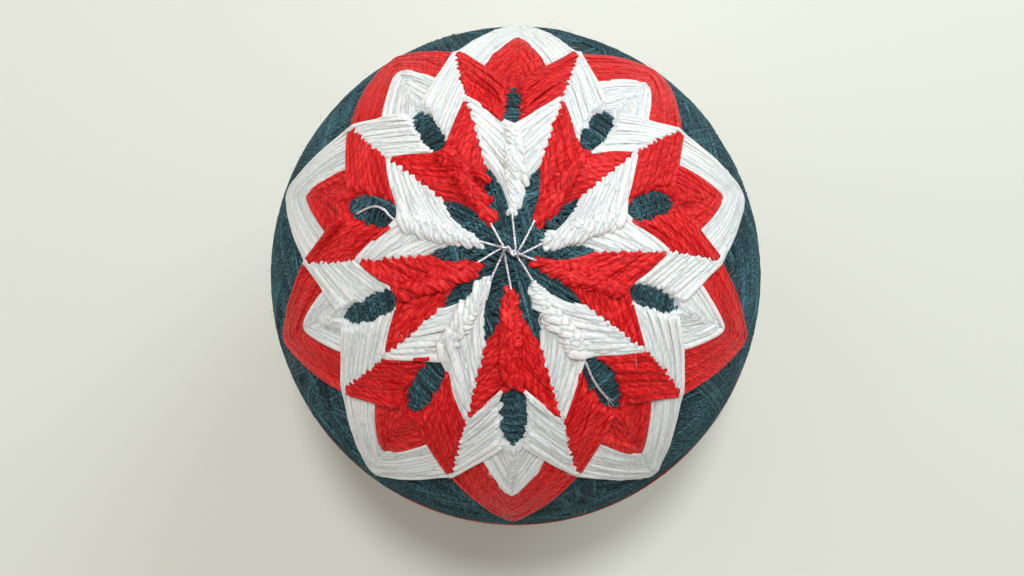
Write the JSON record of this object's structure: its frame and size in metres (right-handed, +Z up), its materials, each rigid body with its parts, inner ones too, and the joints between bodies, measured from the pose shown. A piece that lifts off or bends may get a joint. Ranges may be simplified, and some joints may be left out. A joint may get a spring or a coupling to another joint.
{
  "type": "temari ball",
  "caption": "Hand-wound thread ball with a red and white chrysanthemum star stitched on each half and a red band round its middle.",
  "frame": {"origin": "middle of the resting face, below the ball's centre, at the flattened stitches of the lower star", "axes": "+Z up through the centres of the two stars; +Y towards one white petal's tip, the ball's slightly longer way; +X to its right"},
  "size_m": [0.0806, 0.0822, 0.0818],
  "materials": {
    "teal_thread": "matt cotton thread, wound",
    "red_thread": "soft satin cotton thread, laid side by side",
    "white_thread": "soft satin cotton thread, laid side by side",
    "silver_thread": "metallic thread, twisted"
  },
  "bodies": {
    "root": {"wound_ball": "teal_thread", "obi_band": "red_thread", "red_stitches_upper": "red_thread", "red_stitches_lower": "red_thread", "white_stitches_upper": "white_thread", "white_stitches_lower": "white_thread", "marking_threads_upper": "silver_thread", "marking_threads_lower": "silver_thread", "marking_run_left": "silver_thread", "marking_run_low": "silver_thread"}
  },
  "joints": []
}
